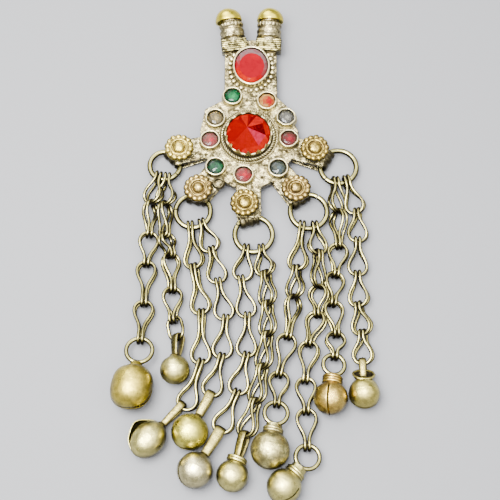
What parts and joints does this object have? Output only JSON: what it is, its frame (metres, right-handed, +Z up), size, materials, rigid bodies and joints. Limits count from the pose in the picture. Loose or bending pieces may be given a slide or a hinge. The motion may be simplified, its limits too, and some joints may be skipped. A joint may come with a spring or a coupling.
{
  "type": "folk pendant",
  "caption": "Necked round pendant of old yellowish metal set with coloured glass; its arms hold rings with chains that end in round bells.",
  "frame": {"origin": "on the table under the middle of the outline of the pendant as it lies on its back", "axes": "+X across the pendant to the viewer's right, +Y along it from the bells to the posts, +Z up from the table through its face"},
  "size_m": [0.0768, 0.1568, 0.0123],
  "materials": {
    "old_silver": "cast and soldered low silver alloy, worn bright on its edges, dark patina in its hollows",
    "cap_brass": "worn golden brass sheet",
    "rosette_gilt": "gilt copper alloy with the gilding worn to copper",
    "ring_wire": "pale yellowish drawn wire, satin",
    "chain_wire": "pale yellowish drawn wire, satin",
    "bell_silver": "pale yellowish sheet metal, hand polished, small pits",
    "bell_brass": "golden brass sheet, hand polished, small pits",
    "bell_copper": "copper coloured sheet metal, hand polished",
    "glass_rose": "rose red foil backed glass",
    "glass_red": "deep red cut glass",
    "glass_pink": "pink red foil backed glass",
    "glass_green": "green cut glass",
    "glass_orange": "orange red foil backed glass",
    "glass_clear": "clear foil backed glass",
    "glass_teal": "grey teal glass"
  },
  "bodies": {
    "root": {"body": "old_silver", "cap_left": "cap_brass", "cap_right": "cap_brass", "hanging_tube": "old_silver", "stone_oval": "glass_rose", "stone_centre": "glass_red", "stone_1": "glass_green", "stone_2": "glass_orange", "stone_3": "glass_clear", "stone_4": "glass_clear", "stone_5": "glass_pink", "stone_6": "glass_pink", "stone_7": "glass_green", "stone_8": "glass_teal", "stone_9": "glass_pink", "rosette_1": "rosette_gilt", "rosette_2": "rosette_gilt", "rosette_3": "rosette_gilt", "rosette_4": "rosette_gilt", "rosette_5": "rosette_gilt", "jump_ring_1": "ring_wire", "jump_ring_2": "ring_wire", "jump_ring_3": "ring_wire", "jump_ring_4": "ring_wire", "jump_ring_5": "ring_wire", "chain_01": "chain_wire", "chain_02": "chain_wire", "chain_03": "chain_wire", "chain_04": "chain_wire", "chain_05": "chain_wire", "chain_06": "chain_wire", "chain_07": "chain_wire", "chain_08": "chain_wire", "chain_09": "chain_wire", "chain_10": "chain_wire", "bell_01": "bell_brass", "bell_02": "bell_silver", "bell_03": "bell_silver", "bell_04": "bell_brass", "bell_05": "bell_silver", "bell_06": "bell_silver", "bell_07": "bell_silver", "bell_08": "bell_silver", "bell_09": "bell_copper", "bell_10": "bell_brass"}
  },
  "joints": []
}
